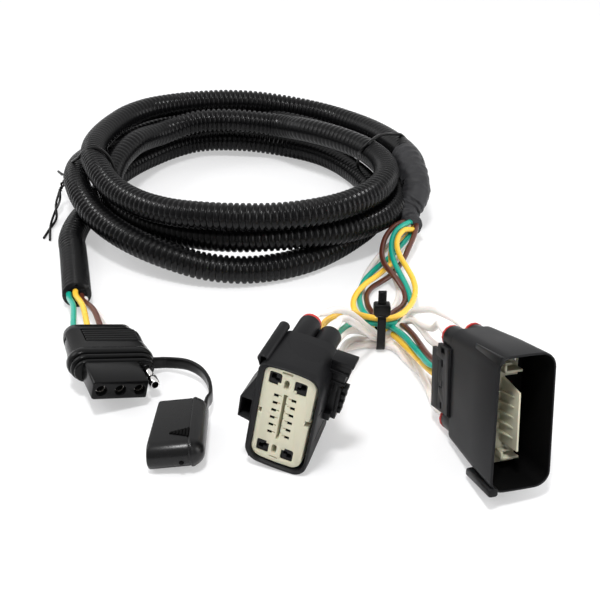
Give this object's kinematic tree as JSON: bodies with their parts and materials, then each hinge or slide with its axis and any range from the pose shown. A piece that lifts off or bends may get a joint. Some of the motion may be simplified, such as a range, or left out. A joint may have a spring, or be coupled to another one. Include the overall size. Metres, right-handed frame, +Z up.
{
  "type": "wiring harness",
  "caption": "Vehicle tow wiring harness: capped flat trailer plug, coiled corrugated loom, and a zip-tied wire junction between a socket connector and a shrouded pin connector.",
  "frame": {"origin": "on the ground plane, under the middle of the connectors, flat plug, dust cap and zip tie; the coiled loom lies behind it", "axes": "+X runs along the row of connectors from the flat plug to the pin connector, -Y is the side the connectors face, +Z is up as the harness lies on a table"},
  "size_m": [0.2649, 0.4065, 0.0662],
  "materials": {
    "loom_black": "semi-gloss corrugated tube",
    "tape_black": "matte wound cloth tape",
    "tie_black": "satin",
    "plug_black": "glossy moulded rubber",
    "housing_black": "fine satin moulding",
    "insert_cream": "satin moulding",
    "seal_red": "satin silicone",
    "terminal_metal": "tinned",
    "terminal_dark": "dark carrier",
    "pin_chrome": "bright plated",
    "wire_brown": "smooth insulation",
    "wire_green": "smooth insulation",
    "wire_yellow": "smooth insulation",
    "wire_white": "smooth insulation"
  },
  "bodies": {
    "root": {"loom_coil": "loom_black", "loom_tail": "loom_black", "tape_wrap": "tape_black", "twist_tie_left": "tie_black", "twist_tie_right": "tie_black", "zip_tie": "tie_black", "flat_plug_body": "plug_black", "dust_cap": "plug_black", "female_housing": "housing_black", "female_side_retainer": "housing_black", "male_housing": "housing_black", "male_clip_plate": "housing_black", "female_insert": "insert_cream", "male_insert": "insert_cream", "female_mat_seal": "seal_red", "male_mat_seal": "seal_red", "female_wire_seal_1": "seal_red", "female_wire_seal_2": "seal_red", "female_wire_seal_3": "seal_red", "female_wire_seal_4": "seal_red", "male_wire_seal_1": "seal_red", "male_wire_seal_2": "seal_red", "male_wire_seal_3": "seal_red", "male_wire_seal_4": "seal_red", "socket_terminal_1": "terminal_metal", "socket_terminal_2": "terminal_metal", "socket_terminal_3": "terminal_metal", "male_blade_1": "terminal_metal", "male_blade_2": "terminal_metal", "male_blade_3": "terminal_metal", "male_blade_4": "terminal_metal", "female_terminal_1": "terminal_dark", "female_terminal_2": "terminal_dark", "female_terminal_3": "terminal_dark", "female_terminal_4": "terminal_dark", "bullet_pin": "pin_chrome", "wire_brown_front": "wire_brown", "wire_brown_rear": "wire_brown", "plug_wire_brown": "wire_brown", "wire_green_front": "wire_green", "wire_green_rear": "wire_green", "plug_wire_green": "wire_green", "wire_yellow_front": "wire_yellow", "wire_yellow_rear": "wire_yellow", "plug_wire_yellow": "wire_yellow", "wire_white_1": "wire_white", "wire_white_2": "wire_white", "wire_white_3": "wire_white", "wire_white_4": "wire_white", "wire_white_5": "wire_white", "plug_wire_white": "wire_white"}
  },
  "joints": []
}
